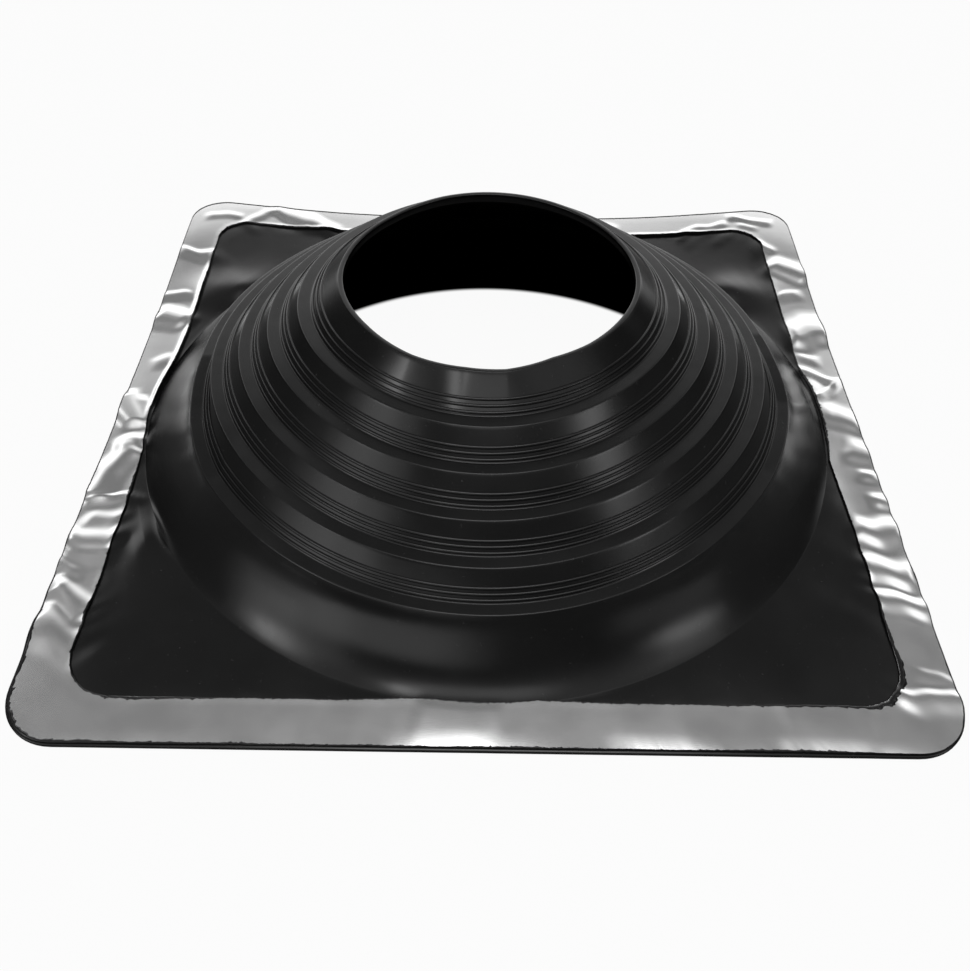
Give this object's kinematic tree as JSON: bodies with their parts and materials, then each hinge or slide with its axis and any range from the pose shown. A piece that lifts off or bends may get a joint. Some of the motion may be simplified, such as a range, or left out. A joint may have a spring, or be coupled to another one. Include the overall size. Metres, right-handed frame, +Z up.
{
  "type": "pipe flashing boot",
  "caption": "Stepped rubber cone on a square flange with a soft metal edge strip, that seals a round pipe where it passes through a roof.",
  "frame": {"origin": "centre of the square flange on its underside, where the pipe's axis meets the roof", "axes": "+Z up along the pipe, from the flange to the mouth; X and Y along the flange's sides"},
  "size_m": [0.635, 0.635, 0.145],
  "materials": {
    "black_rubber": "satin moulded rubber, slightly dusty, with soft moulding marks",
    "soft_aluminium": "dull mill finish, handled and creased"
  },
  "bodies": {
    "root": {"rubber_boot": "black_rubber", "aluminium_strip": "soft_aluminium"}
  },
  "joints": []
}
